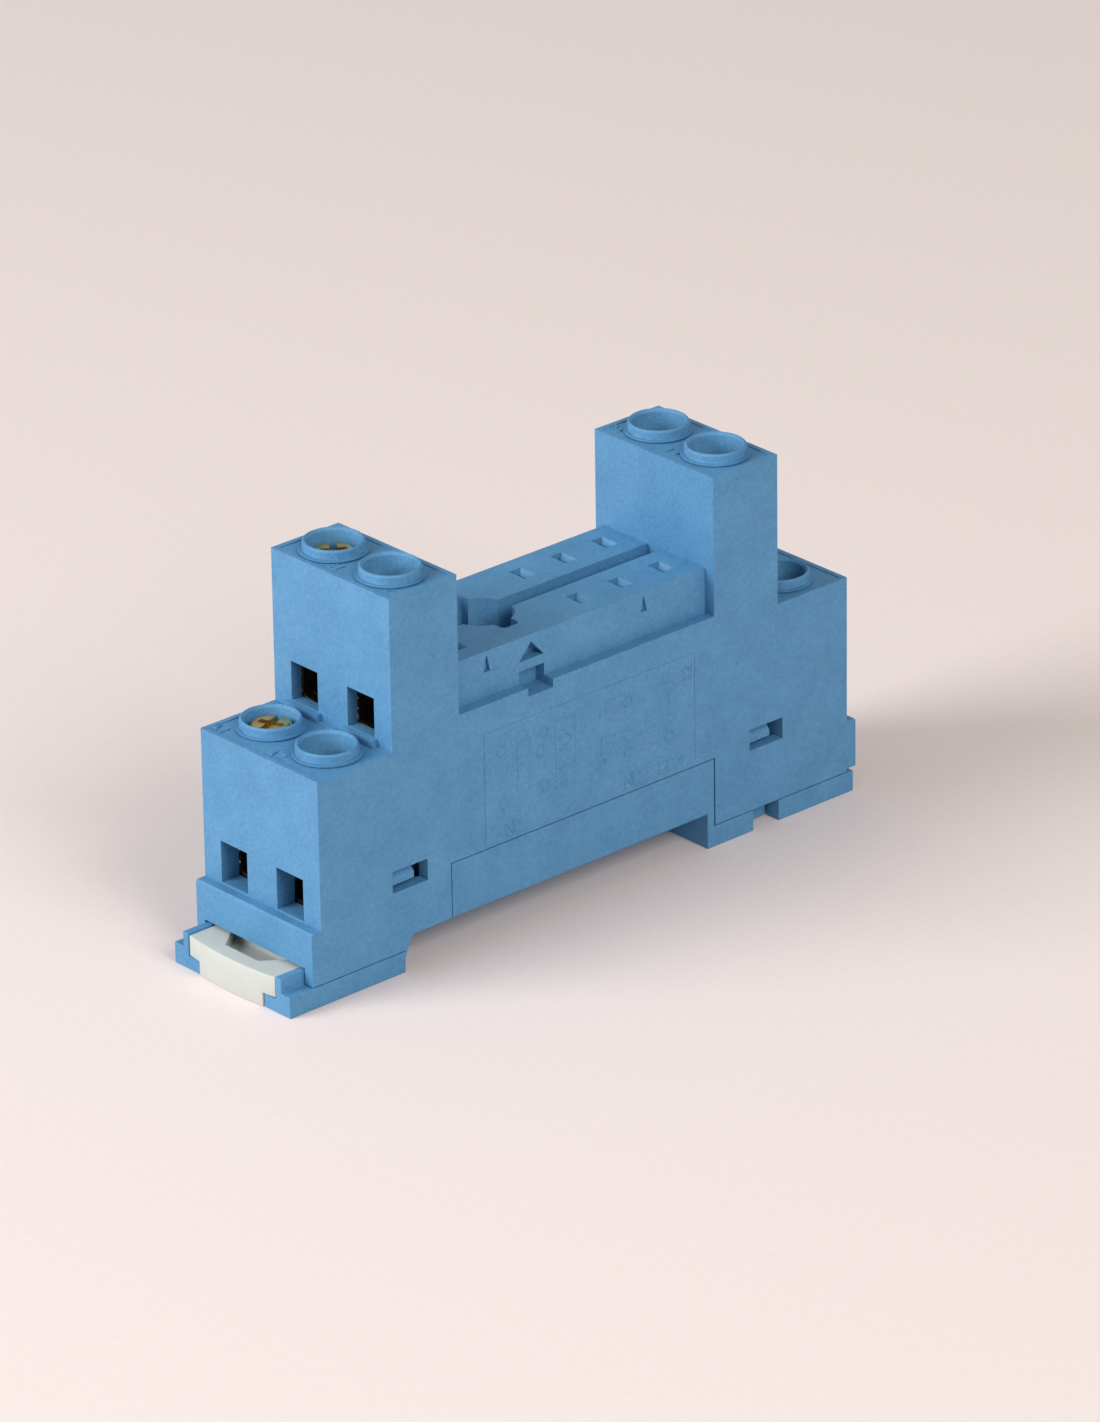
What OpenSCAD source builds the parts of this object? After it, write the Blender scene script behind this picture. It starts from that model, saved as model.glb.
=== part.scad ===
// Two-pole relay socket for a 35 mm mounting rail, with eight rising-cage screw terminals.
// X runs along the socket from its latch end, Y across it and Z up from the rail side.
// Inside the file x = 0 is the end face of the near terminal block.

/* [Housing] */
// Width across the housing
body_w = 15.8; // [15.4:0.1:19]
// Length of each lower terminal block
block_l = 8.7; // [8.6:0.1:10.5]
// Length of each tower
tower_l = 7.9; // [7.7:0.1:9.5]
// Clear length of the relay seat between the towers
seat_l = 30.8; // [30.2:0.1:36]
// Height of the lower terminal blocks
block_h = 21.8; // [20.8:0.1:23]
// Height of the towers
tower_h = 36.6; // [35:0.1:40]
// Height of the relay deck
deck_h = 27.45; // [26.6:0.05:28.6]
// Thickness of the deck over the contact cells
deck_t = 1.5; // [1:0.1:2.4]
// Thickness of the side walls
wall = 1.2; // [0.9:0.05:1.3]
// Height of the side ledge below the deck
ledge_h = 23; // [21.6:0.1:24.4]
// Width of that ledge
ledge_w = 1.2; // [0.6:0.1:1.3]
// How far the end flanges stand out
flange_t = 1.1; // [0.6:0.1:1.5]
// Top of the end flanges
flange_h = 7.3; // [6.4:0.1:7.6]

/* [Relay pins] */
// Distance between the two rows of slots and between neighbouring terminals
pole_pitch = 7.6; // [7.3:0.1:7.8]
// Distance of the coil slots from the near end face
coil_x = 19.7; // [19:0.1:20.4]
// Distance from the coil slots to the first contact slots
coil_gap = 15; // [14.4:0.1:15.4]
// Spacing of the contact slots
pin_pitch = 5; // [4.6:0.1:5.2]
// Slot length across the socket
slot_w = 2.1; // [1.4:0.1:2.6]
// Slot opening at the deck, along the socket
slot_mouth = 1.4; // [1:0.1:1.8]
// Slot opening below its lead-in
slot_throat = 0.7; // [0.5:0.05:0.9]

/* [Deck features] */
// Width of the groove along the middle of the deck
groove_w = 1.85; // [1.2:0.05:2.6]
// Depth of that groove
groove_depth = 3; // [1:0.1:5]
// Distance of the keyed pocket from the near end face
key_x = 26.3; // [25.6:0.1:27]
// Radius of the keyed pocket
key_r = 3.05; // [2.4:0.05:3.2]
// Reach of its side lobes from the middle
key_reach = 4.15; // [3.6:0.05:4.3]
// Width of the side lobes
key_lobe_w = 2; // [1.4:0.1:2.6]
// Depth of the keyed pocket
key_depth = 6; // [3:0.1:7]

/* [Terminals] */
// Distance of the lower screws from the end face
block_axis = 4.7; // [4.5:0.1:5.2]
// Distance of the upper screws from the outer face of their tower
tower_axis = 3.8; // [3.7:0.1:4.1]
// Bore of the screwdriver wells
well_d = 4.8; // [4.3:0.05:5]
// Outside diameter of the collars round the wells
collar_d = 5.7; // [5.4:0.05:6.2]
// Height of the collars
collar_h = 1; // [0.4:0.1:1.6]
// Depth of the wells below the block tops
well_depth = 3.2; // [2.8:0.1:3.4]
// Thickness of the shoulder under a screw head
shoulder_t = 1; // [0.7:0.05:1.3]
// Width of the wire windows
window_w = 3.6; // [2.8:0.1:3.8]
// Height of the lower wire windows
low_window_h = 4.05; // [3.2:0.05:4.3]
// Height of the upper wire windows
high_window_h = 3.8; // [3.2:0.05:4.2]

/* [Clamps] */
// Thread diameter of the clamp screws
screw_d = 3; // [2.6:0.1:3.2]
// Head diameter of the clamp screws
head_d = 3.8; // [3.6:0.05:4]
// Head height of the clamp screws
head_h = 1.8; // [1.4:0.1:2]
// How far the two backed-out screws stand up, lower block and tower
backed_out = [1.7, 1.3];
// Outside width of the clamp cages
cage_w = 4.9; // [4.7:0.1:5.1]
// Length of the clamp cages along the wire
cage_l = 5; // [4.4:0.1:5.1]
// Sheet thickness of the clamp cages
cage_t = 0.7; // [0.5:0.05:0.8]
// Height of the tapped top of a cage
nut_h = 2.2; // [1.6:0.1:2.3]
// Rise of a cage from fully open
cage_travel = 2.75; // [2:0.05:2.85]
// Height of the wire space in an open cage
wire_space = 4.1; // [3.7:0.05:4.2]

/* [Contact strips] */
// Thickness of the contact strips
strip_t = 0.6; // [0.4:0.05:0.8]
// Width of the contact strips
strip_w = 2.8; // [2.2:0.1:3]
// Inside radius of their bends
bend_r = 0.5; // [0.3:0.05:0.7]
// Height of the fork under each slot
fork_h = 6.5; // [5.5:0.1:7]
// Overall width of a fork along the socket
fork_w = 2.6; // [2.2:0.1:2.8]

/* [Rail base] */
// Height of the rail seat above the standing face
rail_h = 3.5; // [3.2:0.05:3.7]
// Start of the rail gap from the near end face
gap_x = 9.75; // [9.5:0.05:10.2]
// Length of the rail gap at the standing face
gap_l = 36.7; // [36.3:0.05:37.2]
// Length of the foot beyond the rail gap
foot_l = 5.7; // [4.5:0.1:6.2]
// Length of the notch behind that foot
notch_l = 3.2; // [2:0.1:4]
// Height of the seam along the outer feet
seam_h = 2.05; // [1.7:0.05:2.3]
// Height of the middle of the base
mid_h = 8.8; // [8:0.1:9.6]
// Near end of the middle of the base
mid_x = 15.3; // [14.6:0.1:16.2]
// Gap along the seam between housing and base
seam = 0.12; // [0.05:0.01:0.2]
// How far the base stands out beyond the near end face
arm_out = 3.8; // [2.8:0.1:4.6]
// Height where the near foot starts to lean over the rail
foot_lean = 1.45; // [1.2:0.05:1.6]
// Height of the guide walls beside the latch
guide_h = 3.5; // [3.3:0.05:3.6]
// Height of the lips that carry the latch
lip_h = 1.3; // [0.9:0.05:1.6]

/* [Snap hooks] */
// Distances of the two snap windows from the near end face
snap_xs = [8.4, 51.7];
// Length of a snap window
snap_l = 4.15; // [3.6:0.05:4.4]
// Lower edge of the snap windows
snap_z = 8.2; // [7.8:0.1:8.6]
// Height of the snap windows
snap_h = 2.1; // [1.6:0.1:2.4]
// Length of a snap hook
hook_l = 2.9; // [2.2:0.1:3.2]

/* [Latch] */
// Width of the latch head
latch_w = 11.7; // [11:0.1:12]
// Width of the latch between the lips
stem_w = 8.6; // [7.6:0.1:9]
// Height of the latch
latch_h = 3.35; // [2.9:0.05:3.45]
// How far the convex front swells at its middle
front_bulge = 0.45; // [0.2:0.05:0.8]
// Reach of the latch nose into the rail gap
nose_reach = 2.8; // [2:0.1:3.4]
// Width of the latch nose and of the fixed rail hook
nose_w = 6; // [4:0.1:7]
// Height of the latch nose and of the fixed rail hook
nose_h = 2.35; // [1.8:0.05:2.45]
// Travel of the latch when it is drawn out
latch_travel = 2.5; // [1.5:0.1:3]

/* [Hidden] */

slack = 0.15;          // clearance of a loose fit
thread_gap = 0.05;     // radial clearance of a screw in its cage
over = 0.5;            // overrun of a cut past the face that it opens
total_l = 2 * block_l + 2 * tower_l + seat_l;
seat_x = block_l + tower_l;
half_w = body_w / 2;
inner_w = body_w - 2 * wall;
base_w = inner_w - 2 * slack;

// The whole socket stands with the middle of its outline over the origin.
front_x = -arm_out - front_bulge + 0.05;
back_x = total_l + flange_t;
origin_x = (front_x + back_x) / 2;

// Heights inside a terminal, measured down from the top of its block.
chamber_top = -well_depth - shoulder_t;
nut_top = chamber_top - slack - cage_travel;
nut_bottom = nut_top - nut_h;
tang_gap = 0.2;
tang_z = nut_bottom - tang_gap - strip_t;
floor_top = tang_z - wire_space;
cage_bottom = floor_top - cage_t;
chamber_bottom = cage_bottom - 2 * slack;
shank_l = -tang_z - strip_t - well_depth - 2 * thread_gap;
chamber_l = cage_l + 2 * slack;
chamber_w = cage_w + 2 * slack;

// Heights of the contact strips and of the base below them.
base_floor = block_h + chamber_bottom;
low_run_z = block_h + tang_z;
cell_top = deck_h - deck_t;
fork_z = cell_top - slack - fork_h;
cell_l = fork_w + 4 * slack;
cell_w = strip_w + 2 * slack;
tray_h = base_floor - slack;
latch_roof = rail_h + slack;
contact_x = coil_x + coil_gap;
slot_xs = concat(coil_x, [for (n = [0:2]) contact_x + n * pin_pitch]);
snap_top = snap_z + snap_h;

$fn = 48;

// Terminals 1 to 4 are at the near end and 5 to 8 at the far end; 3 to 6 are in the towers.
function is_far(i) = i > 4;
function is_high(i) = i > 2 && i < 7;
function side(i) = i % 2 == 1 ? 1 : -1;
function top_z(i) = is_high(i) ? tower_h : block_h;
function outer_x(i) = is_high(i) ? block_l : 0;
function axis_x(i) = outer_x(i) + (is_high(i) ? tower_axis : block_axis);
function fork_x(i) =
    is_far(i) ? total_l - contact_x - (is_high(i) ? 2 : 1) * pin_pitch
    : is_high(i) ? coil_x : contact_x;
function lift(i) = i == 1 ? backed_out[0] : i == 3 ? backed_out[1] : 0;

// Puts what is drawn for the near end at the end where terminal i is.
module at_end(i) {
    if (is_far(i)) translate([total_l, 0, 0]) mirror([1, 0, 0]) children();
    else children();
}

module at_terminal(i) {
    at_end(i) translate([axis_x(i), side(i) * pole_pitch / 2, top_z(i)]) children();
}

module both_ends() {
    children();
    translate([total_l, 0, 0]) mirror([1, 0, 0]) children();
}

module both_sides() {
    children();
    mirror([0, 1, 0]) children();
}

module both_poles() {
    for (s = [-1, 1]) translate([0, s * pole_pitch / 2, 0]) children();
}

// A box between two corners.
module block(low, high) {
    translate(low) cube(high - low);
}

// A box centred on the middle plane, given by its X and Z ends and its width.
module slab(x0, x1, z0, z1, w) {
    block([x0, -w / 2, z0], [x1, w / 2, z1]);
}

// Extrudes an X-Z outline across the socket, centred on the middle plane.
module across(w) {
    rotate([90, 0, 0]) linear_extrude(height = w, center = true) children();
}

// ---- Housing ----------------------------------------------------------------------------

// End of the near foot at a height, upright at first and then leaning over the rail.
function foot_end(z) = gap_x + 0.85 * max(0, z - foot_lean) / (rail_h - foot_lean);

module housing_outline() {
    edge = 0.2;
    polygon([
        [-flange_t, seam_h + seam], [foot_end(seam_h + seam), seam_h + seam],
        [foot_end(rail_h), rail_h], [mid_x, rail_h], [mid_x, mid_h + seam],
        [gap_x + gap_l + 0.95, mid_h + seam], [gap_x + gap_l + 0.95, seam_h + seam],
        [total_l, seam_h + seam], [total_l, seam_h + 0.4], [back_x, seam_h + 0.4],
        [back_x, flange_h - edge], [back_x - edge, flange_h], [total_l, flange_h],
        [total_l, block_h],
        [total_l - block_l, block_h], [total_l - block_l, tower_h],
        [seat_x + seat_l, tower_h], [seat_x + seat_l, deck_h],
        [seat_x, deck_h], [seat_x, tower_h], [block_l, tower_h], [block_l, block_h],
        [0, block_h], [0, flange_h], [edge - flange_t, flange_h], [-flange_t, flange_h - edge]
    ]);
}

module collar() {
    ring_w = 0.35;
    edge = 0.25;
    rim_r = collar_d / 2;
    rotate_extrude() difference() {
        union() {
            square([rim_r, collar_h - edge]);
            square([rim_r - edge, collar_h]);
            translate([rim_r - edge, collar_h - edge]) circle(r = edge, $fn = 24);
            square([rim_r + ring_w, 0.15]);
        }
        translate([-rim_r, -over]) square([rim_r, collar_h + 2 * over]);
    }
}

// The well, the clear hole in its shoulder, the cage chamber and the wire window of terminal i.
module terminal_cut(i) {
    window_h = is_high(i) ? high_window_h : low_window_h;
    window_top = tang_z - slack;
    flare = 0.25;
    clear_r = screw_d / 2 + thread_gap + 0.03;
    out = axis_x(i) - outer_x(i) + over;
    low = is_high(i) ? chamber_bottom : base_floor - block_h - over;
    at_terminal(i) {
        translate([0, 0, -well_depth]) cylinder(d = well_d, h = well_depth + collar_h + over);
        translate([0, 0, collar_h - flare])
            cylinder(r1 = well_d / 2, r2 = well_d / 2 + 2 * flare, h = 2 * flare);
        translate([0, 0, chamber_top - over]) cylinder(r = clear_r, h = shoulder_t + 2 * over);
        slab(-chamber_l / 2, chamber_l / 2, low, chamber_top, chamber_w);
        slab(-out, 0, window_top - window_h, window_top, window_w);
    }
}

// Passages for the four strips of one pole.
module strip_passage(i) {
    leg_x = axis_x(i) + chamber_l / 2;
    low_top = low_run_z + strip_t + slack;
    at_end(i) {
        if (is_high(i)) {
            slab(leg_x - over, leg_x + strip_t + 2 * slack, fork_z - slack,
                tower_h + tang_z + strip_t + slack, cell_w);
            slab(leg_x - over, fork_x(i), fork_z - slack, fork_z + strip_t + slack, cell_w);
            slab(fork_x(i) - cell_l / 2, fork_x(i) + cell_l / 2, fork_z - slack, cell_top, cell_w);
        } else {
            slab(leg_x - over, mid_x + over, base_floor, low_top, cell_w);
            slab(mid_x, fork_x(i) + cell_l / 2, mid_h, low_top, cell_w);
            slab(fork_x(i) - cell_l / 2, fork_x(i) + cell_l / 2, mid_h, cell_top, cell_w);
        }
    }
}

// A slot for a relay blade, with lead-ins along the socket.
module slot_cut() {
    lead = 0.6;
    m = slot_mouth / 2;
    t = slot_throat / 2;
    across(slot_w) polygon([
        [-t, -deck_t - over], [t, -deck_t - over], [t, -lead], [m, 0], [m, over], [-m, over],
        [-m, 0], [-t, -lead]
    ]);
}

module key_pocket() {
    lobe_r = key_lobe_w / 2;
    translate([key_x, 0, deck_h - key_depth]) {
        cylinder(r = key_r, h = key_depth + over);
        both_sides() {
            translate([-lobe_r, 0, 0]) cube([key_lobe_w, key_reach - 0.5, key_depth + over]);
            for (s = [-1, 1]) translate([s * (lobe_r - 0.5), key_reach - 0.5, 0])
                cylinder(r = 0.5, h = key_depth + over, $fn = 24);
            translate([-lobe_r + 0.5, 0, 0])
                cube([key_lobe_w - 1, key_reach, key_depth + over]);
        }
    }
}

// Ledges beside the deck, with the seats for a retaining clip in the set-back walls.
module side_recess() {
    clip_w = 3;
    wall_y = half_w - ledge_w;
    bar_top = deck_h - 2.35;
    both_sides() {
        block([seat_x, wall_y, ledge_h], [seat_x + seat_l, half_w + over, deck_h + over]);
        translate([key_x, wall_y, 0]) rotate([90, 0, 0])
            linear_extrude(height = 2.2, center = true)
            polygon([[-clip_w / 2, bar_top], [clip_w / 2, bar_top], [0, bar_top + 1.65]]);
        block([key_x - clip_w / 2, wall_y - 1.1, ledge_h - 0.8],
            [key_x + clip_w / 2, half_w + over, bar_top - 0.9]);
        for (x = [key_x - 5.3, key_x + 13.6]) translate([x, wall_y, deck_h])
            rotate([90, 0, 0]) linear_extrude(height = 0.8, center = true)
            polygon([[-0.4, -2], [0.4, -2], [0.05, -0.5], [-0.05, -0.5]]);
    }
}

// Sunken panels round the collars on the block tops.
module top_panels() {
    margin = 0.5;
    depth = 0.1;
    both_ends() {
        slab(margin, block_l - margin, block_h - depth, block_h + over, body_w - 2 * margin);
        slab(block_l + margin, seat_x - margin, tower_h - depth, tower_h + over,
            body_w - 2 * margin);
    }
}

// Space for the inner part of the base, the latch and the snap arms.
module base_space() {
    near_wall = 1.5;
    far_wall = 1.5;
    roof = base_floor;
    latch_open = guide_h + 0.2;
    slab(near_wall, mid_x + over, -over, roof, inner_w);
    slab(-flange_t - over, near_wall + over, -over, latch_open, inner_w + 2 * seam);
    slab(gap_x + gap_l, total_l - far_wall, -over, roof, inner_w);
    for (x = snap_xs) slab(x - seam, x + snap_l, roof - over, snap_top, inner_w);
    for (x = snap_xs) slab(x, x + snap_l, snap_z, snap_top, body_w + 2 * over);
}

// Cores between the cells, open towards the base, with a web along the middle.
module bays() {
    web = 1.2;
    rib = 1.2;
    leg_x = axis_x(3) + chamber_l / 2 + strip_t + 2 * slack;
    bay_0 = axis_x(1) + chamber_l / 2 + 1.5;
    under_tower = tower_h + chamber_bottom - web;
    under_fork = fork_z - slack - web;
    under_key = deck_h - key_depth - web;
    mid_0 = coil_x + cell_l / 2 + rib;
    mid_1 = contact_x - cell_l / 2 - rib;
    last_x = contact_x + 2 * pin_pitch - cell_l / 2;
    both_sides() {
        both_ends() block([bay_0, web / 2, mid_h], [leg_x, inner_w / 2, under_tower]);
        block([leg_x + rib, web / 2, mid_h], [mid_0 - rib, inner_w / 2, under_fork]);
        block([mid_0, web / 2, mid_h], [mid_1, inner_w / 2, under_key]);
        block([last_x, web / 2, mid_h], [total_l - leg_x - rib, inner_w / 2, under_fork]);
    }
    both_ends() slab(bay_0, mid_x, base_floor - over, mid_h + over, inner_w);
}

// Sills under the upper wire windows.
module sills() {
    both_ends() both_poles() block([block_l - 0.5, -2.15, block_h - 0.2], [block_l + 0.1, 2.15,
        block_h + 0.7]);
}

module label_line() {
    block([total_l - 19.3, -half_w - over, 9.6], [total_l - 19.05, -half_w + 0.15, 20.2]);
}

module housing() {
    color("steelblue") translate([-origin_x, 0, 0]) difference() {
        union() {
            difference() {
                across(body_w) housing_outline();
                top_panels();
            }
            for (i = [1:8]) at_terminal(i) translate([0, 0, -0.2]) {
                cylinder(d = collar_d, h = 0.3);
                translate([0, 0, 0.2]) collar();
            }
            sills();
        }
        for (i = [1:8]) terminal_cut(i);
        for (i = [1:8]) translate([0, side(i) * pole_pitch / 2, 0]) strip_passage(i);
        for (x = slot_xs) both_poles() translate([x, 0, deck_h]) slot_cut();
        slab(seat_x, seat_x + seat_l, deck_h - groove_depth, deck_h + over, groove_w);
        key_pocket();
        side_recess();
        base_space();
        bays();
        label_line();
    }
}

// ---- Rail base --------------------------------------------------------------------------

module mid_block() {
    foot_x = gap_x + gap_l;
    web_w = body_w - 3;
    slab(mid_x + seam, foot_x + 0.95 - seam, rail_h, mid_h, body_w);
    slab(foot_x, foot_x + foot_l, 0, seam_h, body_w);
    slab(foot_x, foot_x + 0.95 - seam, 0, mid_h, body_w);
    slab(foot_x, foot_x + foot_l, 0, seam_h + 1, base_w);
    slab(foot_x + foot_l - over, foot_x + foot_l + notch_l - 0.35, 0.25, seam_h + 1, web_w);
    slab(foot_x + foot_l + notch_l, total_l + 0.8, 0, seam_h, body_w);
    slab(foot_x + foot_l + notch_l, total_l - 1.5 - slack, 0, seam_h + 1, base_w);
}

// Hooked lip of a rail clamp, pointing along +X from its root, with a lead-in below.
module hook_lip(root, reach) {
    across(nose_w) polygon([
        [root, 0.3], [reach - 1.1, 0.3], [reach, nose_h - 0.9], [reach, nose_h], [root, nose_h]
    ]);
}

module base_trays() {
    foot_x = gap_x + gap_l;
    slab(1.5 + slack, mid_x + 1, latch_roof, tray_h, base_w);
    slab(gap_x + slack, mid_x + 1, rail_h, tray_h, base_w);
    slab(foot_x, total_l - 1.5 - slack, seam_h, tray_h, base_w);
}

// Arms, lips and walls that guide the latch.
module latch_guide() {
    wall_in = latch_w / 2 + 0.1;
    guide_back = gap_x - slack;
    stop_x = gap_x - 1.3 - 0.3 - 1 - latch_travel - 0.1;
    both_sides() {
        block([-arm_out, stem_w / 2 + 0.1, 0], [guide_back, half_w, lip_h]);
        translate([0, half_w, 0]) rotate([90, 0, 0])
            linear_extrude(height = half_w - wall_in) polygon([
                [-arm_out, 0], [gap_x, 0], [gap_x, foot_lean], [foot_end(seam_h), seam_h],
                [-arm_out, seam_h]
            ]);
        block([-arm_out, wall_in, 0], [1.5, inner_w / 2, guide_h]);
        block([0, wall_in, 0], [guide_back, base_w / 2, latch_roof]);
        block([gap_x - 1.3, nose_w / 2 + 0.2, 0], [guide_back, base_w / 2, latch_roof]);
        block([stop_x - 0.8, wall_in - 0.5, 0], [stop_x, wall_in + over, latch_roof]);
    }
    slab(1.5 + slack, 3.5, guide_h, latch_roof + over, base_w);
}

module snap_arms() {
    arm_t = 0.95;
    for (x = snap_xs) both_sides() {
        block([x + 0.1, base_w / 2 - arm_t, tray_h - over], [x + 0.1 + hook_l, base_w / 2,
            snap_top - slack]);
        translate([x + 0.1, 0, 0]) rotate([90, 0, 90]) linear_extrude(height = hook_l) polygon([
            [base_w / 2 - arm_t, snap_z + 0.45], [half_w - 0.5, snap_z + 0.45],
            [half_w - 0.5, snap_z + 1.1], [base_w / 2, snap_top - slack],
            [base_w / 2 - arm_t, snap_top - slack]
        ]);
    }
}

// Ribs that the lower strips lie on.
module strip_ribs() {
    rib_t = 1.2;
    mid_ribs = concat([for (n = [0:2]) mid_x + 4 + 5 * n], contact_x + pin_pitch + 3);
    tray_ribs = [mid_x - 2.2, total_l - mid_x + 1];
    both_poles() {
        for (x = mid_ribs) slab(x, x + rib_t, rail_h + over, low_run_z, strip_w);
        for (x = tray_ribs) slab(x, x + rib_t, tray_h - over, low_run_z, strip_w);
    }
}

// Cores that keep the walls of the base even.
module base_cores() {
    floor_t = 1.2;
    side_t = 1.4;
    bays = 5;
    first = mid_x + side_t;
    pitch = (gap_x + gap_l - first) / bays;
    for (n = [0:bays - 1])
        slab(first + n * pitch, first + (n + 1) * pitch - side_t, rail_h + floor_t, mid_h + over,
            body_w - 2 * side_t);
    foot_x = gap_x + gap_l;
    back_foot = foot_x + foot_l + notch_l;
    far_back = total_l - 1.5 - slack - side_t;
    both_sides() {
        block([foot_x + 0.95 + side_t, 0.6, -over],
            [foot_x + foot_l - side_t, base_w / 2 - side_t, tray_h - floor_t]);
        block([back_foot + side_t, 0.6, -over],
            [far_back, base_w / 2 - side_t, tray_h - floor_t]);
    }
}

module rail_base() {
    color("steelblue") translate([-origin_x, 0, 0]) {
        difference() {
            union() {
                mid_block();
                base_trays();
                latch_guide();
            }
            base_cores();
        }
        strip_ribs();
        snap_arms();
        translate([gap_x + gap_l, 0, 0]) mirror([1, 0, 0]) hook_lip(-0.5, 1.25);
    }
}

// ---- Latch ------------------------------------------------------------------------------

// Outline of the latch from above: convex front, straight sides and back.
module latch_plan(w, back) {
    front = -arm_out + 0.05;
    bulge_r = (latch_w * latch_w / 4 + front_bulge * front_bulge) / (2 * front_bulge);
    intersection() {
        translate([front - front_bulge, -w / 2]) square([back - front + front_bulge, w]);
        translate([front - front_bulge + bulge_r, 0]) circle(r = bulge_r, $fn = 180);
    }
}

module spring_leg() {
    leg_t = 0.6;
    leg_out = latch_w / 2 - 0.5;
    leg_end = gap_x - 1.3 - 0.3;
    block([3, leg_out - leg_t, lip_h + 0.2], [leg_end, leg_out, latch_h - 0.2]);
    translate([leg_end - 0.5, leg_out, lip_h + 0.2])
        cylinder(r = 0.5, h = latch_h - lip_h - 0.4, $fn = 24);
}

module rail_latch() {
    notch_depth = 1.2;
    head_back = 3.4;
    nose_tip = gap_x + nose_reach;
    color("ivory") translate([-origin_x, 0, 0]) {
        difference() {
            union() {
                translate([0, 0, lip_h + 0.1])
                    linear_extrude(height = latch_h - lip_h - 0.1) latch_plan(latch_w, head_back);
                linear_extrude(height = latch_h) latch_plan(stem_w, head_back);
            }
            translate([0, 0, latch_h - notch_depth]) linear_extrude(height = notch_depth + over)
                polygon([[-2.6, -2.25], [0.4, -4.6], [0.4, 4.6], [-2.6, 2.25]]);
        }
        hook_lip(head_back - over, nose_tip);
        both_sides() spring_leg();
    }
}

// ---- Terminals --------------------------------------------------------------------------

// Driver recess: one slot right across and a shorter cross bar.
module driver_recess() {
    slot_t = 0.7;
    translate([-head_d, -slot_t / 2, -0.8]) cube([2 * head_d, slot_t, 0.8 + over]);
    translate([-slot_t / 2, -head_d * 0.32, -1.1]) cube([slot_t, head_d * 0.64, 1.1 + over]);
}

// Head with a rounded top edge over a plain shank at the thread's full diameter.
module screw_body() {
    edge = 0.3;
    head_r = head_d / 2;
    rotate_extrude() union() {
        square([head_r, head_h - edge]);
        square([head_r - edge, head_h]);
        translate([head_r - edge, head_h - edge]) circle(r = edge, $fn = 24);
        translate([0, -shank_l]) square([screw_d / 2, shank_l + 0.2]);
    }
}

module terminal_screw(i) {
    turn = [20, 75, 55, 10, 65, 35, 80, 45][i - 1];
    color("gold") translate([-origin_x, 0, 0]) at_terminal(i)
        translate([0, 0, -well_depth + thread_gap + lift(i)]) rotate(turn) difference() {
            screw_body();
            translate([0, 0, head_h]) driver_recess();
        }
}

// A strip of sheet folded into a closed frame, with a tapped block at its top.
module clamp_cage(i) {
    r = cage_t;
    w = cage_w / 2;
    inner = w - cage_t;
    dip = 0.3;
    color("silver") translate([-origin_x, 0, 0]) at_terminal(i) difference() {
        rotate([90, 0, 90]) linear_extrude(height = cage_l, center = true) difference() {
            union() {
                translate([-w + r, cage_bottom]) square([2 * (w - r), nut_top - cage_bottom]);
                translate([-w, cage_bottom + r]) square([2 * w, nut_top - cage_bottom - 2 * r]);
                for (y = [-w + r, w - r], z = [cage_bottom + r, nut_top - r])
                    translate([y, z]) circle(r = r, $fn = 24);
            }
            polygon([
                [-inner, floor_top + dip], [0, floor_top], [inner, floor_top + dip],
                [inner, nut_bottom], [-inner, nut_bottom]
            ]);
        }
        translate([0, 0, nut_bottom - over])
            cylinder(r = screw_d / 2 + thread_gap, h = nut_h + 2 * over);
        for (x = [-1.6:0.8:1.6])
            translate([x - 0.15, -inner, floor_top - 0.15]) cube([0.3, 2 * inner, 1]);
    }
}

// ---- Contact strips ---------------------------------------------------------------------

// A quarter turn of sheet about a centre, in the quarter that sx and sz point to.
module quarter_bend(centre, sx, sz) {
    reach = bend_r + strip_t;
    translate(centre) intersection() {
        difference() {
            circle(r = reach, $fn = 32);
            circle(r = bend_r, $fn = 32);
        }
        translate([sx < 0 ? -reach : 0, sz < 0 ? -reach : 0]) square([reach, reach]);
    }
}

module rect(x0, z0, x1, z1) {
    translate([x0, z0]) square([x1 - x0, z1 - z0]);
}

// Two spring leaves on a bar, pinched below a flared mouth.
module fork(x) {
    half = fork_w / 2;
    pinch = 0.15;
    mouth = pinch + 0.35;
    neck = fork_h - 1.4;
    knee = fork_h * 0.4;
    right = [
        [half, 0], [half, knee], [pinch + strip_t, neck], [mouth + strip_t, fork_h],
        [mouth, fork_h], [pinch, neck], [half - strip_t, knee], [half - strip_t, strip_t]
    ];
    left = [for (n = [len(right) - 1:-1:0]) [-right[n][0], right[n][1]]];
    translate([x, fork_z]) polygon(concat(right, left));
}

module low_strip(i) {
    x0 = axis_x(i) - cage_l / 2 + 0.3;
    x1 = fork_x(i) - strip_t / 2;
    z = low_run_z;
    rect(x0, z, x1 - bend_r, z + strip_t);
    quarter_bend([x1 - bend_r, z + strip_t + bend_r], 1, -1);
    rect(x1, z + strip_t + bend_r, x1 + strip_t, fork_z + strip_t);
    fork(fork_x(i));
}

module high_strip(i) {
    x0 = axis_x(i) - cage_l / 2 + 0.3;
    x1 = axis_x(i) + chamber_l / 2 + slack;
    z = tower_h + tang_z;
    rect(x0, z, x1 - bend_r, z + strip_t);
    quarter_bend([x1 - bend_r, z - bend_r], 1, 1);
    rect(x1, fork_z + strip_t + bend_r, x1 + strip_t, z - bend_r);
    quarter_bend([x1 + strip_t + bend_r, fork_z + strip_t + bend_r], -1, -1);
    rect(x1 + strip_t + bend_r, fork_z, fork_x(i), fork_z + strip_t);
    fork(fork_x(i));
}

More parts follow.
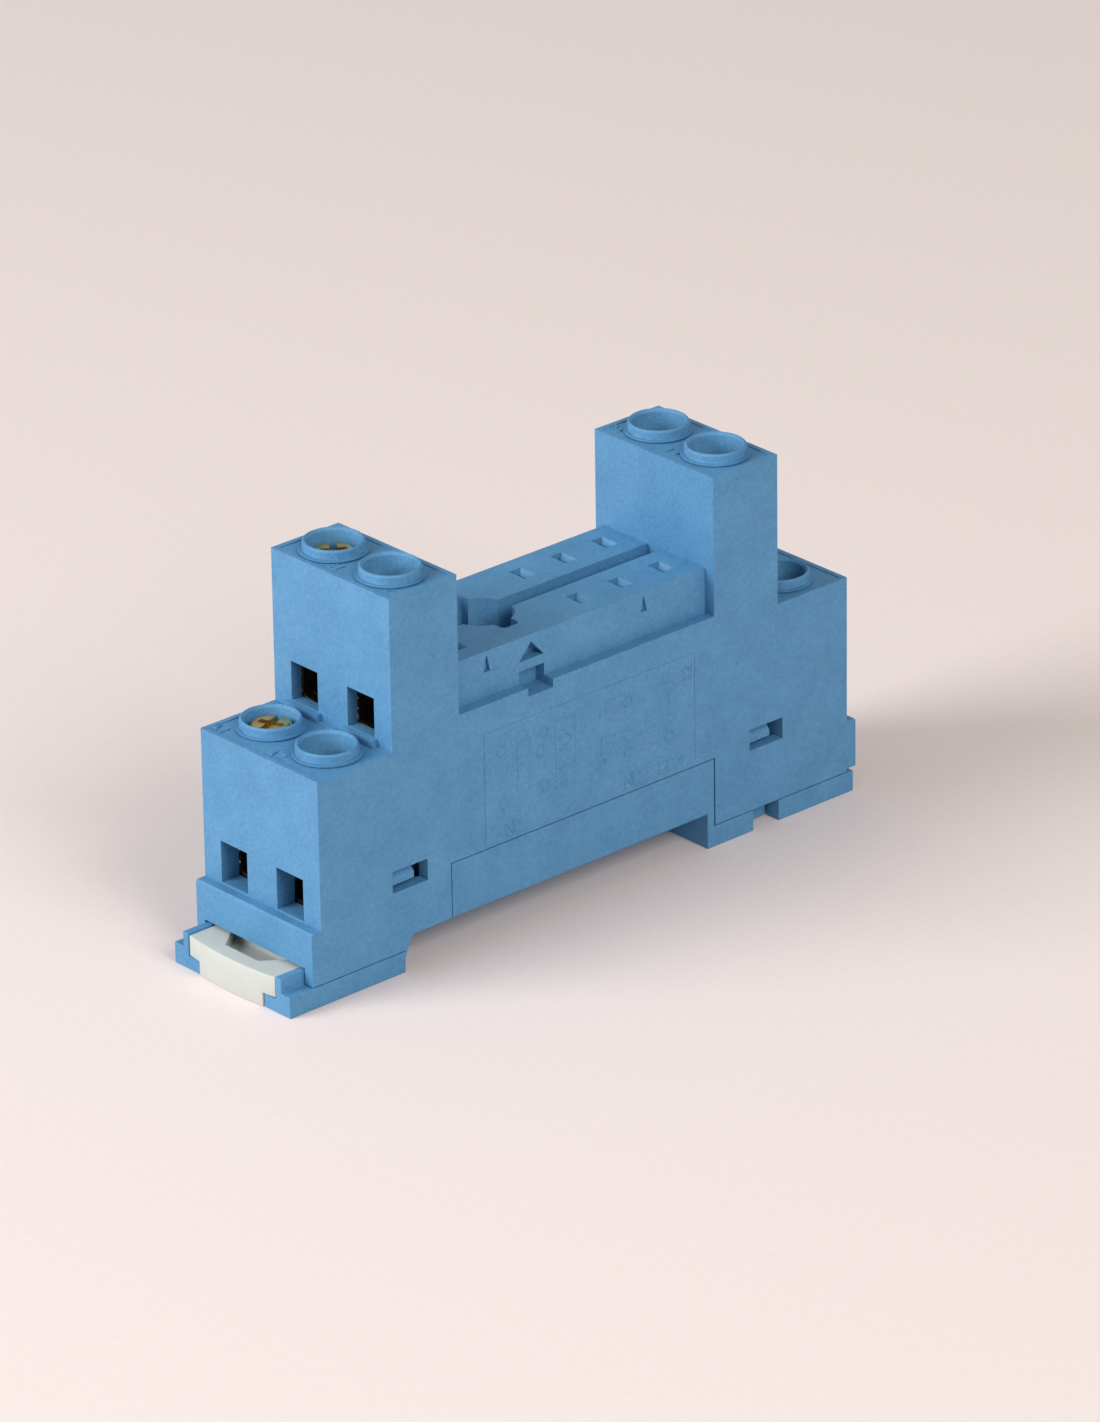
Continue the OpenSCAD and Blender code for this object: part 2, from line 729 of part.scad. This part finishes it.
module contact_strip(i) {
    color("goldenrod") translate([-origin_x, side(i) * pole_pitch / 2, 0]) at_end(i)
        across(strip_w) {
            if (is_high(i)) high_strip(i);
            else low_strip(i);
        }
}

housing();
rail_base();
rail_latch();
for (i = [1:8]) {
    terminal_screw(i);
    clamp_cage(i);
    contact_strip(i);
}
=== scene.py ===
# %% [markdown]
# # A relay socket for a mounting rail
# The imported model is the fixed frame. Everything below dresses it: rounded edges, plastics and
# metals, cut threads and the moulded marks. All lengths are in metres.

# %% Load the frame
import math
import random

import bmesh
import bpy
from mathutils import Matrix, Vector


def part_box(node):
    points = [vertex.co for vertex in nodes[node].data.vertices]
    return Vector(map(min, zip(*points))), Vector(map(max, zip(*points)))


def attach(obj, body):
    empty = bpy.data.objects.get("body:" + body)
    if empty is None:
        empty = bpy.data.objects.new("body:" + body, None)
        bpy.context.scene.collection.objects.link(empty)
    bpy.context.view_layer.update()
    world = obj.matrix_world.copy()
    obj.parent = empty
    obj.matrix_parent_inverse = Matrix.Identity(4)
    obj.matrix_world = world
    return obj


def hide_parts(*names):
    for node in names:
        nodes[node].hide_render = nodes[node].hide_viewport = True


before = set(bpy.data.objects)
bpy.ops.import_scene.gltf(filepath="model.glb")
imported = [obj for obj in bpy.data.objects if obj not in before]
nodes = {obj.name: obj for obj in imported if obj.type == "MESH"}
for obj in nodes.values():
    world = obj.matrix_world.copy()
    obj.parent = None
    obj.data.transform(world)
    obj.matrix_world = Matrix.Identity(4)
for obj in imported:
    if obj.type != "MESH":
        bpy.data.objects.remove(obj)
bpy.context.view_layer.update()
MM = 0.001

# %% [markdown]
# The camera comes first, because it fixes what is seen. It is a long lens far away, so the
# socket's edges stay almost parallel. Its place is written as three axes and a distance, which
# say more plainly than three turning angles where it stands and which way is up.

# %% Camera
AZIMUTH, ELEVATION, ROLL = math.radians(-41.71), math.radians(24.67), math.radians(-0.87)
AIM = Vector((7.55, 0, 20)) * MM
LENS = 231.7
DISTANCE, RIGHT_SHIFT, UP_SHIFT = 828.1 * MM, 2.604 * MM, 5.475 * MM


def camera_axes():
    back = Vector((math.sin(AZIMUTH) * math.cos(ELEVATION),
                   -math.cos(AZIMUTH) * math.cos(ELEVATION), math.sin(ELEVATION)))
    level = Vector((math.cos(AZIMUTH), math.sin(AZIMUTH), 0))
    upright = back.cross(level)
    right = math.cos(ROLL) * level + math.sin(ROLL) * upright
    up = math.cos(ROLL) * upright - math.sin(ROLL) * level
    return right, up, back


right, up, back = camera_axes()
camera = bpy.data.objects.new("camera", bpy.data.cameras.new("camera"))
bpy.context.scene.collection.objects.link(camera)
place = AIM - RIGHT_SHIFT * right - UP_SHIFT * up + DISTANCE * back
turn = Matrix((right, up, back)).transposed().to_4x4()
camera.matrix_world = Matrix.Translation(place) @ turn
camera.data.lens = LENS
camera.data.clip_start, camera.data.clip_end = 0.05, 10
bpy.context.scene.camera = camera
print("camera at", [round(v, 3) for v in place])

# %% [markdown]
# Shader maths reads best as plain formulas. `Value` wraps a socket, so that `1 - mask` or
# `grain * 0.2` adds the Math node by itself. Every other node comes from one method, which takes
# the node's type, its settings and what goes into its sockets.

# %% Shader helpers
class Value:
    """A shader socket that can be added, subtracted and multiplied."""

    def __init__(self, finish, socket):
        self.finish, self.socket = finish, socket

    def _math(self, operation, a, b):
        return self.finish.node("ShaderNodeMath", {"operation": operation}, {0: a, 1: b})

    def __add__(self, other):
        return self._math("ADD", self, other)

    def __sub__(self, other):
        return self._math("SUBTRACT", self, other)

    def __rsub__(self, other):
        return self._math("SUBTRACT", other, self)

    def __mul__(self, other):
        return self._math("MULTIPLY", self, other)

    __radd__, __rmul__ = __add__, __mul__


class Finish:
    """A material whose nodes are made one by one."""

    def __init__(self, name, **fixed):
        self.material = bpy.data.materials.new(name)
        self.material.use_nodes = True
        self.tree = self.material.node_tree
        self.shader = self.tree.nodes["Principled BSDF"]
        self.place = self.node("ShaderNodeTexCoord", output="Object")
        for socket, value in fixed.items():
            self.shader.inputs[socket.replace("_", " ")].default_value = value

    def node(self, kind, settings=None, sockets=None, output=0):
        made = self.tree.nodes.new(kind)
        for name, value in (settings or {}).items():
            if name == "stops":
                ramp = made.color_ramp.elements
                while len(ramp) < len(value):
                    ramp.new(0.5)
                for element, (at, colour) in zip(ramp, value):
                    element.position, element.color = at, colour
            else:
                setattr(made, name, value)
        for name, value in (sockets or {}).items():
            self.join(value, made.inputs[name])
        return Value(self, made.outputs[output])

    def join(self, value, socket):
        if isinstance(value, Value):
            self.tree.links.new(value.socket, socket)
        else:
            socket.default_value = value

    def noise(self, scale, detail=3.0, roughness=0.5):
        sockets = {"Vector": self.place, "Scale": scale, "Detail": detail, "Roughness": roughness}
        return self.node("ShaderNodeTexNoise", {}, sockets)

    def mix(self, mask, first, second):
        sockets = {0: mask, 6: first, 7: second}
        return self.node("ShaderNodeMix", {"data_type": "RGBA"}, sockets, output=2)

    def ramp(self, value, stops):
        return self.node("ShaderNodeValToRGB", {"stops": stops}, {0: value})

    def bump(self, height, strength, depth, normal=None):
        sockets = {"Height": height, "Strength": strength, "Distance": depth}
        if normal is not None:
            sockets["Normal"] = normal
        return self.node("ShaderNodeBump", {}, sockets)

    def wire(self, **sockets):
        for name, value in sockets.items():
            self.join(value, self.shader.inputs[name.replace("_", " ")])
        return self.material


# %% [markdown]
# The housing is glass-filled plastic moulded against an eroded steel tool. Close by it shows a
# fine matt grain and faint clouds where the filler gathered, so three scales of noise are used:
# clouds of a few millimetres, flecks of a third of a millimetre and a much finer grain.

# %% Blue moulded plastic
def grey(level):
    return (level, level, level, 1)


def moulded_blue(name):
    finish = Finish(name, IOR=1.5)
    clouds = finish.noise(260.0, detail=4.0)
    flecks = finish.noise(2600.0, detail=5.0, roughness=0.7)
    grain = finish.noise(9500.0, detail=3.0, roughness=0.65)
    shade = clouds * 0.35 + flecks * 0.65
    mask = finish.ramp(shade, [(0.36, grey(0)), (0.64, grey(1))])
    body = finish.mix(mask, (0.05, 0.2, 0.39, 1), (0.085, 0.27, 0.49, 1))
    speck = finish.ramp(grain, [(0.56, grey(0)), (0.72, grey(1))])
    colour = finish.mix(speck * 0.45, body, (0.26, 0.43, 0.6, 1))
    rough = 0.5 + flecks * 0.16
    coarse = finish.bump(flecks, 0.6, 0.00007)
    relief = finish.bump(grain, 0.6, 0.00004, coarse)
    return finish.wire(Base_Color=colour, Roughness=rough, Normal=relief)


housing_blue = moulded_blue("housing_plastic")
base_blue = moulded_blue("base_plastic")


# %% [markdown]
# The latch is natural nylon, milky and a little glossy. Some light gets into it, so it has a
# low subsurface weight, which is the same all over and is set on the shader itself.

# %% Natural nylon
def natural_nylon():
    finish = Finish("latch_nylon", Subsurface_Weight=0.25, Subsurface_Scale=0.0015, IOR=1.53)
    finish.shader.inputs["Subsurface Radius"].default_value = (1.0, 0.95, 0.8)
    flow = finish.noise(420.0, detail=3.0)
    grain = finish.noise(6500.0, detail=2.0)
    colour = finish.mix(flow, (0.47, 0.5, 0.47, 1), (0.54, 0.57, 0.54, 1))
    rough = 0.34 + grain * 0.14
    relief = finish.bump(grain, 0.35, 0.00003)
    return finish.wire(Base_Color=colour, Roughness=rough, Normal=relief)


nylon = natural_nylon()


# %% [markdown]
# Screws, cages and strips are metal. Passivated zinc is yellow with a drifting tint and fine
# drawing lines, the cages carry painted shade, a near-black colour for the dark inside the
# housing, and rolled brass is smoother. One function makes them all from two colours and a
# roughness, because they differ in nothing else.

# %% Metals
def plated_metal(name, dark, light, roughness):
    finish = Finish(name, Metallic=1.0)
    tint = finish.noise(900.0, detail=3.0)
    marks = finish.noise(7000.0, detail=4.0, roughness=0.7)
    mask = finish.ramp(tint, [(0.35, grey(0)), (0.68, grey(1))])
    colour = finish.mix(mask, dark, light)
    rough = roughness + marks * 0.2
    relief = finish.bump(marks, 0.3, 0.00002)
    return finish.wire(Base_Color=colour, Roughness=rough, Normal=relief)


yellow_zinc = plated_metal("screw_zinc", (0.62, 0.4, 0.12, 1), (0.86, 0.66, 0.28, 1), 0.2)
# The cage colours are painted shade: near black, standing in for the shade inside the housing
# windows.
cage_painted_shade = plated_metal("cage_painted_shade", (0.07, 0.055, 0.035, 1), (0.14, 0.11, 0.07, 1), 0.35)
bare_steel = plated_metal("sheared_steel", (0.75, 0.66, 0.48, 1), (0.95, 0.9, 0.8, 1), 0.15)
strip_brass = plated_metal("strip_brass", (0.66, 0.45, 0.17, 1), (0.8, 0.6, 0.28, 1), 0.22)


# %% [markdown]
# A moulded or stamped edge is never sharp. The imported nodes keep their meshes, and three live
# modifiers round them: Weld joins the loose triangles, Decimate in planar mode makes whole faces
# of them, and Bevel then rounds every real edge by the same small amount.

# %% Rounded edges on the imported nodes
def round_edges(node, width, segments=2):
    piece = nodes[node]
    weld = piece.modifiers.new("weld", "WELD")
    weld.merge_threshold = 0.001 * MM
    faces = piece.modifiers.new("faces", "DECIMATE")
    faces.decimate_type, faces.angle_limit = "DISSOLVE", math.radians(0.6)
    edge = piece.modifiers.new("edges", "BEVEL")
    edge.width, edge.segments = width, segments
    edge.limit_method, edge.angle_limit = "ANGLE", math.radians(35)
    edge.use_clamp_overlap = True


def dress(node, material):
    piece = nodes[node]
    piece.data.materials.clear()
    piece.data.materials.append(material)


EDGES = {"housing": 0.12, "rail_base": 0.1, "rail_latch": 0.14}
CAGE_EDGE = 0.08
for name in nodes:
    if name in ("housing", "rail_base"):
        dress(name, housing_blue if name == "housing" else base_blue)
    elif name == "rail_latch":
        dress(name, nylon)
    elif name.startswith("clamp_cage"):
        dress(name, cage_painted_shade)
    elif name.startswith("contact_strip"):
        dress(name, strip_brass)
    else:
        dress(name, yellow_zinc)
    if name in EDGES:
        round_edges(name, EDGES[name] * MM)
    elif name.startswith("clamp_cage"):
        round_edges(name, CAGE_EDGE * MM)
print("dressed", len(nodes), "nodes")

# %% [markdown]
# The moulded marks are fine raised lines. Each is drawn as a chain of points on its face, and a
# small Geometry Nodes tree gives every chain a round bead, half of it sunk in the plastic. Only
# the width is an input, so the same tree serves the diagram, the numbers and the burrs.

# %% Bead along lines
def bead_tree():
    tree = bpy.data.node_groups.new("bead_along_lines", "GeometryNodeTree")
    tree.interface.new_socket("Geometry", in_out="INPUT", socket_type="NodeSocketGeometry")
    width = tree.interface.new_socket("Width", in_out="INPUT", socket_type="NodeSocketFloat")
    finish = tree.interface.new_socket("Finish", in_out="INPUT", socket_type="NodeSocketMaterial")
    tree.interface.new_socket("Geometry", in_out="OUTPUT", socket_type="NodeSocketGeometry")
    kinds = ["NodeGroupInput", "GeometryNodeMeshToCurve", "GeometryNodeCurvePrimitiveCircle",
             "GeometryNodeCurveToMesh", "GeometryNodeRealizeInstances", "GeometryNodeSetMaterial",
             "NodeGroupOutput"]
    given, chain, ring, bead, real, paint, out = (tree.nodes.new(kind) for kind in kinds)
    ring.inputs["Resolution"].default_value = 8
    bead.inputs["Fill Caps"].default_value = True
    join = tree.links.new
    join(given.outputs["Geometry"], chain.inputs["Mesh"])
    join(given.outputs["Width"], ring.inputs["Radius"])
    join(chain.outputs["Curve"], bead.inputs["Curve"])
    join(ring.outputs["Curve"], bead.inputs["Profile Curve"])
    join(bead.outputs["Mesh"], real.inputs["Geometry"])
    join(real.outputs["Geometry"], paint.inputs["Geometry"])
    join(given.outputs["Finish"], paint.inputs["Material"])
    join(paint.outputs["Geometry"], out.inputs["Geometry"])
    return tree, width.identifier, finish.identifier


BEAD, WIDTH, FINISH = bead_tree()


def beads(name, chains, radius, material, body):
    mesh = bpy.data.meshes.new(name)
    points, edges = [], []
    for chain in chains:
        edges += [(len(points) + n, len(points) + n + 1) for n in range(len(chain) - 1)]
        points += chain
    mesh.from_pydata(points, edges, [])
    piece = bpy.data.objects.new(name, mesh)
    bpy.context.scene.collection.objects.link(piece)
    made = piece.modifiers.new("bead", "NODES")
    made.node_group = BEAD
    made[WIDTH], made[FINISH] = radius, material
    seen = piece.evaluated_get(bpy.context.evaluated_depsgraph_get())
    piece.data = bpy.data.meshes.new_from_object(seen)
    piece.modifiers.clear()
    for face in piece.data.polygons:
        face.use_smooth = True
    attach(piece, body)
    return piece


# %% [markdown]
# A mould cutter writes with single strokes, so each letter is a few lines on a grid four wide
# and six high. Only the signs that the socket needs are drawn.

# %% Strokes of the letters
STROKES = {
    "A": [[(0, 0), (2, 6), (4, 0)], [(0.8, 2.2), (3.2, 2.2)]],
    "C": [[(4, 5), (3, 6), (1, 6), (0, 5), (0, 1), (1, 0), (3, 0), (4, 1)]],
    "M": [[(0, 0), (0, 6), (2, 3), (4, 6), (4, 0)]],
    "N": [[(0, 0), (0, 6), (4, 0), (4, 6)]],
    "O": [[(1, 0), (0, 1), (0, 5), (1, 6), (3, 6), (4, 5), (4, 1), (3, 0), (1, 0)]],
    "1": [[(1, 4.8), (2.4, 6), (2.4, 0)]],
    "2": [[(0, 5), (1, 6), (3, 6), (4, 5), (4, 3.8), (0, 0), (4, 0)]],
    "4": [[(3, 0), (3, 6), (0, 2), (4, 2)]],
}


def written(word, middle, height, across=(1, 0), up=(0, 1)):
    """Strokes of a word round its middle, on a plane with the given directions."""
    step, length = 5.4, 5.4 * len(word) - 1.4
    chains = []
    for n, sign in enumerate(word):
        for stroke in STROKES[sign]:
            line = []
            for a, b in stroke:
                a, b = (a + n * step - length / 2) * height / 6, (b - 3) * height / 6
                line.append((middle[0] + a * across[0] + b * up[0],
                             middle[1] + a * across[1] + b * up[1]))
            chains.append(line)
    return chains


def ring(x, z, radius=0.5, turns=16):
    angles = [2 * math.pi * n / turns for n in range(turns + 1)]
    return [(x + radius * math.cos(a), z + radius * math.sin(a)) for a in angles]


print("letters:", "".join(STROKES))

# %% [markdown]
# The near side carries the wiring diagram: a coil between A1 and A2, and a changeover contact
# with its three terminals. Places are measured from the near end face, along and up.

# %% Wiring diagram on the side
house_low, house_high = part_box("housing")
FLANGE = 1.1 * MM
END_X = house_low.x + FLANGE
SIDE_Y = house_low.y
STROKE = 0.085 * MM
PROUD = 0.02 * MM

diagram = [ring(x, z) for x, z in ((21.48, 17.91), (21.67, 12.77), (26.08, 16.36), (26.55, 18.23),
                                   (26.54, 12.93), (36.72, 17.97), (41.86, 17.88), (41.81, 12.99),
                                   (36.74, 12.92))]
diagram += [ring(33.67, 17.85, 0.35), ring(33.86, 13.05, 0.2, 8)]
diagram += [[(21.67, 12.27), (21.67, 11.5)], [(36.74, 12.42), (36.74, 11.93)],
            [(23.37, 13.17), (24.84, 13.17), (24.84, 18.09), (23.37, 18.09), (23.37, 13.17)],
            [(27.97, 12.1), (30.33, 12.1), (30.33, 18.8), (27.97, 18.8), (27.97, 12.1)],
            [(41.75, 17.18), (41.75, 15.06)], [(33.54, 15.41), (37.4, 15.06)],
            [(33.52, 15.41), (33.52, 13.52)], [(33.86, 13.05), (32.05, 11.8)]]
for word, middle in (("NC", (22.8, 10.05)), ("NO", (37.2, 10.1)), ("COM", (41.85, 10.1))):
    diagram += written(word, middle, 1.2)
turned = (("A2", (29.1, 16.5), 1.5), ("A1", (29.1, 13.2), 1.5), ("12", (44.0, 18.4), 1.0))
for word, middle, height in turned:
    diagram += written(word, middle, height, (0, 1), (-1, 0))
on_side = [[(END_X + x * MM, SIDE_Y - PROUD, z * MM) for x, z in line] for line in diagram]
beads("wiring_diagram", on_side, STROKE, housing_blue, "socket")

plate_mesh = bpy.data.meshes.new("label_field")
field = [(19.45, 9.2), (44.88, 9.2), (44.88, 20.2), (19.45, 20.2)]
outer = [(END_X + x * MM, SIDE_Y - 0.04 * MM, z * MM) for x, z in field]
inner = [(x, SIDE_Y + 0.1 * MM, z) for x, y, z in outer]
sides = [(n, n + 4, (n + 1) % 4 + 4, (n + 1) % 4) for n in range(4)]
plate_mesh.from_pydata(outer + inner, [], [(0, 1, 2, 3), (7, 6, 5, 4)] + sides)
plate_mesh.materials.append(housing_blue)
label_field = bpy.data.objects.new("label_field", plate_mesh)
bpy.context.scene.collection.objects.link(label_field)
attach(label_field, "socket")
print("diagram of", len(diagram), "strokes")

# %% [markdown]
# Each terminal has its number on the block top beside the well. The numbers follow the usual
# plan for two poles: the coil's A1 and A2 on the near lower block, the contacts on the others.

# %% Terminal numbers
TOPS = [("A1", 1.2, 6.6, 22), ("A2", 1.2, -1.0, 22), ("21", 10.2, 0.9, 37), ("11", 10.2, -6.8, 37),
        ("24", 48.9, 6.8, 37), ("14", 48.9, -0.8, 37), ("22", 57.9, 6.8, 22), ("12", 57.9, -0.8, 22)]
block_top = {22: 21.7 * MM, 37: 36.5 * MM}
numbers = []
for word, x, y, level in TOPS:
    for line in written(word, (x, y), 1.1, (0, -1), (1, 0)):
        numbers.append([(END_X + a * MM, b * MM, block_top[level] + PROUD) for a, b in line])
beads("terminal_numbers", numbers, STROKE, housing_blue, "socket")
print("numbers on", len(TOPS), "terminals")

# %% [markdown]
# The cages are sheared from strip, and a shear leaves a bright ragged line along the cut edge.
# A chain of points with a fixed random wander stands on each front edge and gets the same bead.

# %% Ragged edges of the cages
BURR = 0.05 * MM
chance = random.Random(4)
for i in range(1, 9):
    low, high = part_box(f"clamp_cage_{i}")
    front = low.x if low.x < 0 else high.x
    ragged = []
    for wall in (low.y + 0.35 * MM, high.y - 0.35 * MM):
        line = []
        for n in range(19):
            z = low.z + (0.8 + n * 0.26) * MM
            line.append((front + chance.uniform(-0.04, 0.02) * MM,
                         wall + chance.uniform(-0.3, 0.3) * MM, z))
        ragged.append(line)
    beads(f"sheared_edge_{i}", ragged, BURR, bare_steel, f"cage_{i}")
print("ragged edges on 8 cages")

# %% [markdown]
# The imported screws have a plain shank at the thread's full size. Here the shank is drawn in to
# the thread's root and a helix is laid round it: Spiral gives the path and Curve to Mesh sweeps
# a small four-sided ridge along it, as a thread roller does.

# %% Thread
PITCH, OUTER_R, ROOT_R, RIDGE = 0.5 * MM, 1.5 * MM, 1.2 * MM, 0.17 * MM
HEAD_H = 1.8 * MM


def thread_tree():
    tree = bpy.data.node_groups.new("rolled_thread", "GeometryNodeTree")
    for name in ("Radius", "Length", "Turns", "Ridge"):
        tree.interface.new_socket(name, in_out="INPUT", socket_type="NodeSocketFloat")
    tree.interface.new_socket("Finish", in_out="INPUT", socket_type="NodeSocketMaterial")
    tree.interface.new_socket("Geometry", in_out="OUTPUT", socket_type="NodeSocketGeometry")
    kinds = ["NodeGroupInput", "GeometryNodeCurveSpiral", "GeometryNodeCurvePrimitiveCircle",
             "GeometryNodeCurveToMesh", "GeometryNodeRealizeInstances", "GeometryNodeSetMaterial",
             "NodeGroupOutput"]
    given, helix, ridge, sweep, real, paint, out = (tree.nodes.new(kind) for kind in kinds)
    helix.inputs["Resolution"].default_value = 24
    ridge.inputs["Resolution"].default_value = 4
    sweep.inputs["Fill Caps"].default_value = True
    join = tree.links.new
    join(given.outputs["Turns"], helix.inputs["Rotations"])
    join(given.outputs["Radius"], helix.inputs["Start Radius"])
    join(given.outputs["Radius"], helix.inputs["End Radius"])
    join(given.outputs["Length"], helix.inputs["Height"])
    join(given.outputs["Ridge"], ridge.inputs["Radius"])
    join(helix.outputs["Curve"], sweep.inputs["Curve"])
    join(ridge.outputs["Curve"], sweep.inputs["Profile Curve"])
    join(sweep.outputs["Mesh"], real.inputs["Geometry"])
    join(real.outputs["Geometry"], paint.inputs["Geometry"])
    join(given.outputs["Finish"], paint.inputs["Material"])
    join(paint.outputs["Geometry"], out.inputs["Geometry"])
    given_items = [item for item in tree.interface.items_tree if item.in_out == "INPUT"]
    return tree, {item.name: item.identifier for item in given_items}


THREAD, THREAD_INPUT = thread_tree()


def thread_mesh(length):
    blank = bpy.data.objects.new("thread", bpy.data.meshes.new("thread"))
    bpy.context.scene.collection.objects.link(blank)
    made = blank.modifiers.new("thread", "NODES")
    made.node_group = THREAD
    sizes = {"Radius": OUTER_R - RIDGE, "Length": length, "Turns": length / PITCH,
             "Ridge": RIDGE, "Finish": yellow_zinc}
    for name, value in sizes.items():
        made[THREAD_INPUT[name]] = value
    seen = blank.evaluated_get(bpy.context.evaluated_depsgraph_get())
    mesh = bpy.data.meshes.new_from_object(seen)
    bpy.data.objects.remove(blank)
    return mesh


# %% [markdown]
# Each threaded screw is one mesh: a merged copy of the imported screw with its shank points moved
# in to the root, and the helix joined to it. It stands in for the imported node.

# %% Threaded screws
def threaded_screw(i):
    source = nodes[f"terminal_screw_{i}"]
    low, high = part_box(f"terminal_screw_{i}")
    middle = (low + high) / 2
    neck = high.z - HEAD_H
    work = bmesh.new()
    work.from_mesh(source.data)
    work.transform(source.matrix_world)
    bmesh.ops.remove_doubles(work, verts=work.verts, dist=0.001 * MM)
    for v in work.verts:
        out = Vector((v.co.x - middle.x, v.co.y - middle.y, 0))
        on_shank = OUTER_R - 0.1 * MM < out.length < OUTER_R + 0.02 * MM
        if on_shank and v.co.z < neck + 0.01 * MM:
            v.co -= out * (1 - ROOT_R / out.length)
    length = neck - low.z - 0.9 * MM
    helix = thread_mesh(length)
    helix.transform(Matrix.Translation((middle.x, middle.y, low.z + 0.4 * MM)))
    work.from_mesh(helix)
    bmesh.ops.recalc_face_normals(work, faces=work.faces)
    mesh = bpy.data.meshes.new(f"screw_{i}")
    work.to_mesh(mesh)
    work.free()
    mesh.materials.append(yellow_zinc)
    piece = bpy.data.objects.new(f"threaded_screw_{i}", mesh)
    bpy.context.scene.collection.objects.link(piece)
    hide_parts(f"terminal_screw_{i}")
    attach(piece, f"screw_{i}")
    return len(mesh.polygons)


print("faces per screw:", [threaded_screw(i) for i in range(1, 9)])

# %% [markdown]
# The floor is one wide sheet of warm grey paper. It reaches far past the socket on all sides, so
# no backdrop is needed. It is not a part of the socket.

# %% Floor
def paper_floor():
    finish = Finish("floor_paper")
    finish.shader.inputs["Specular IOR Level"].default_value = 0.1
    fibre = finish.noise(1500.0, detail=2.0)
    colour = finish.mix(fibre, (0.775, 0.7, 0.685, 1), (0.825, 0.75, 0.735, 1))
    return finish.wire(Base_Color=colour, Roughness=0.85 + fibre * 0.1)


floor_mesh = bpy.data.meshes.new("floor")
floor_mesh.from_pydata([(-3, -3, 0), (3, -3, 0), (3, 3, 0), (-3, 3, 0)], [], [(0, 1, 2, 3)])
floor_mesh.materials.append(paper_floor())
floor = bpy.data.objects.new("floor", floor_mesh)
bpy.context.scene.collection.objects.link(floor)
print("floor", [round(v, 1) for v in floor.dimensions])

# %% [markdown]
# One big soft box stands low to the left and a little behind, so the end faces are brightest and
# a wide soft shadow lies in front. A second, warmer one fills the near side, and a dim even
# world keeps the shadows open.

# %% Light
def softbox(name, towards, distance, size, power, colour=(1, 1, 1)):
    lamp = bpy.data.lights.new(name, "AREA")
    lamp.shape, lamp.size, lamp.energy, lamp.color = "DISK", size, power, colour
    made = bpy.data.objects.new(name, lamp)
    direction = Vector(towards).normalized()
    made.matrix_world = (Matrix.Translation(Vector((0, 0, 0.015)) + direction * distance)
                         @ direction.to_track_quat("Z", "Y").to_matrix().to_4x4())
    bpy.context.scene.collection.objects.link(made)


softbox("key", (-0.9, 0.33, 0.45), 0.9, 0.6, 8.2)
softbox("fill", (-0.1, -1.0, 0.7), 1.2, 0.7, 8.2, (1, 0.94, 0.89))

world = bpy.data.worlds.new("studio")
world.use_nodes = True
world.node_tree.nodes["Background"].inputs["Color"].default_value = (1, 0.96, 0.93, 1)
world.node_tree.nodes["Background"].inputs["Strength"].default_value = 0.4
bpy.context.scene.world = world
bpy.context.scene.view_settings.view_transform = "Standard"
